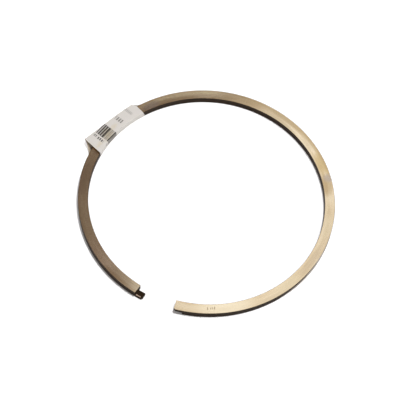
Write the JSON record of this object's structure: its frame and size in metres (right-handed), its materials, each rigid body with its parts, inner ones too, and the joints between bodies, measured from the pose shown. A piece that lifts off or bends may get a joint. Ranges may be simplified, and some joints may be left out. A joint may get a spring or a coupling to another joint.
{
  "type": "piston ring",
  "caption": "Sprung-open metal piston ring of rectangular section with a tongue and recess lap joint, carrying a folded paper stock label over its upper side.",
  "frame": {"origin": "on the ring's axis, in the plane of the lower side face", "axes": "+Z along the ring's axis, out of the upper side face; the open gap is centred on -Y, with the tongue on its -X side and the recess on its +X side"},
  "size_m": [0.1639, 0.1571, 0.0063],
  "materials": {
    "ring": "ground side faces with a fine circular grain, darker walls",
    "label": "matt white printed paper"
  },
  "bodies": {
    "root": {"ring": "ring", "paper_label": "label"}
  },
  "joints": []
}
